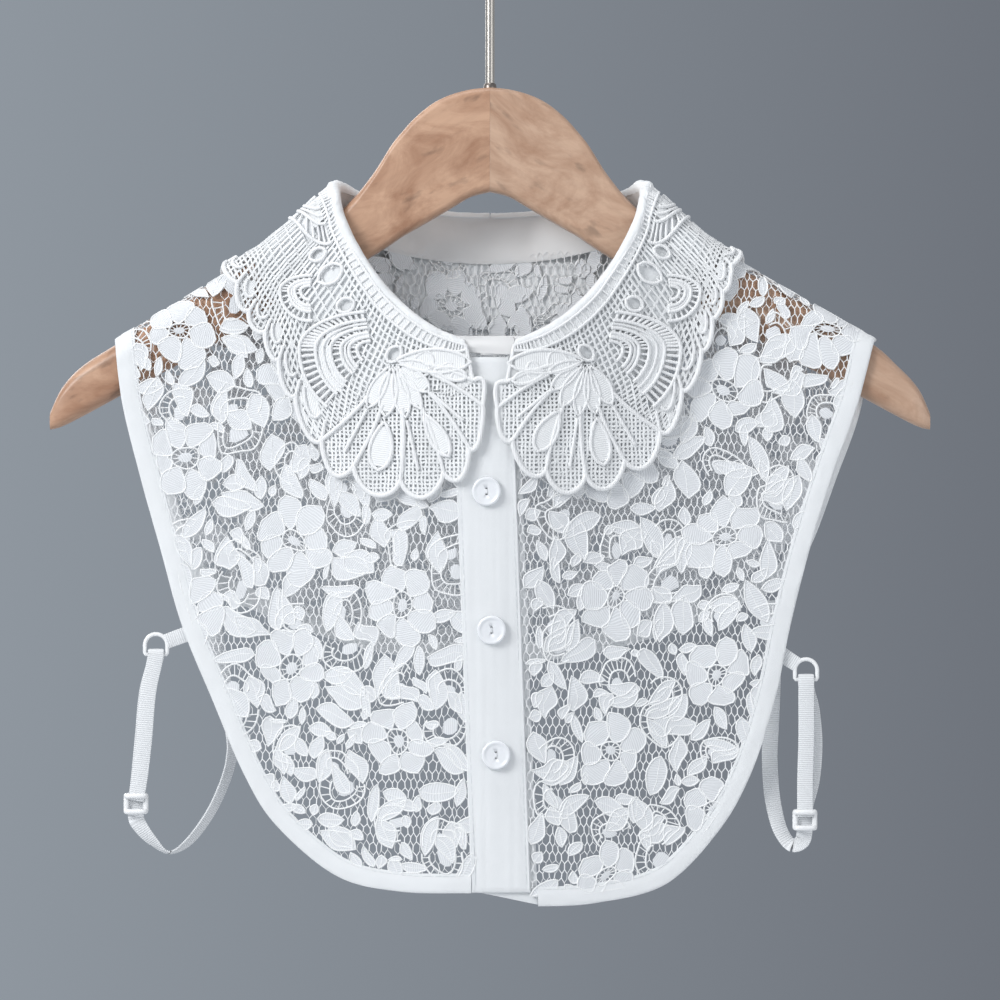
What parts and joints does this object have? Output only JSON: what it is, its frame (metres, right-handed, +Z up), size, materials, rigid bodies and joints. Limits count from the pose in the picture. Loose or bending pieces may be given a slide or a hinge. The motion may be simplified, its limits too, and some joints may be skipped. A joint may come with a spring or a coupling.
{
  "type": "lace dickey collar on a wooden hanger",
  "caption": "Detachable half-shirt in lace net with a thick scalloped lace collar, buttoned cotton front strip and elastic side straps, hung on a wooden hanger.",
  "frame": {"origin": "inner top of the hook's crook, where a rail bears", "axes": "+X to the viewer's right along the hanger, +Y away from the viewer through the garment, +Z up"},
  "size_m": [0.379, 0.0622, 0.4514],
  "materials": {
    "body_lace": "matte",
    "cotton": "matte",
    "guipure": "matte",
    "elastic": "satin",
    "button": "gloss",
    "ring_slider": "gloss",
    "wood": "satin",
    "steel": "polished"
  },
  "bodies": {
    "root": {"front_left_panel": "body_lace", "front_right_panel": "body_lace", "back_panel": "body_lace", "placket": "cotton", "under_placket": "cotton", "collar_stand": "cotton", "under_collar_left": "cotton", "under_collar_right": "cotton", "binding_front_left": "cotton", "binding_front_right": "cotton", "binding_back": "cotton", "lace_collar_left": "guipure", "lace_collar_right": "guipure", "button_1": "button", "button_2": "button", "button_3": "button", "strap_tab_left": "elastic", "strap_tab_right": "elastic", "strap_band_left": "elastic", "strap_band_right": "elastic", "strap_ring_left": "ring_slider", "strap_ring_right": "ring_slider", "strap_slider_left": "ring_slider", "strap_slider_right": "ring_slider", "hanger_left": "wood", "hanger_right": "wood", "hook": "steel"}
  },
  "joints": []
}
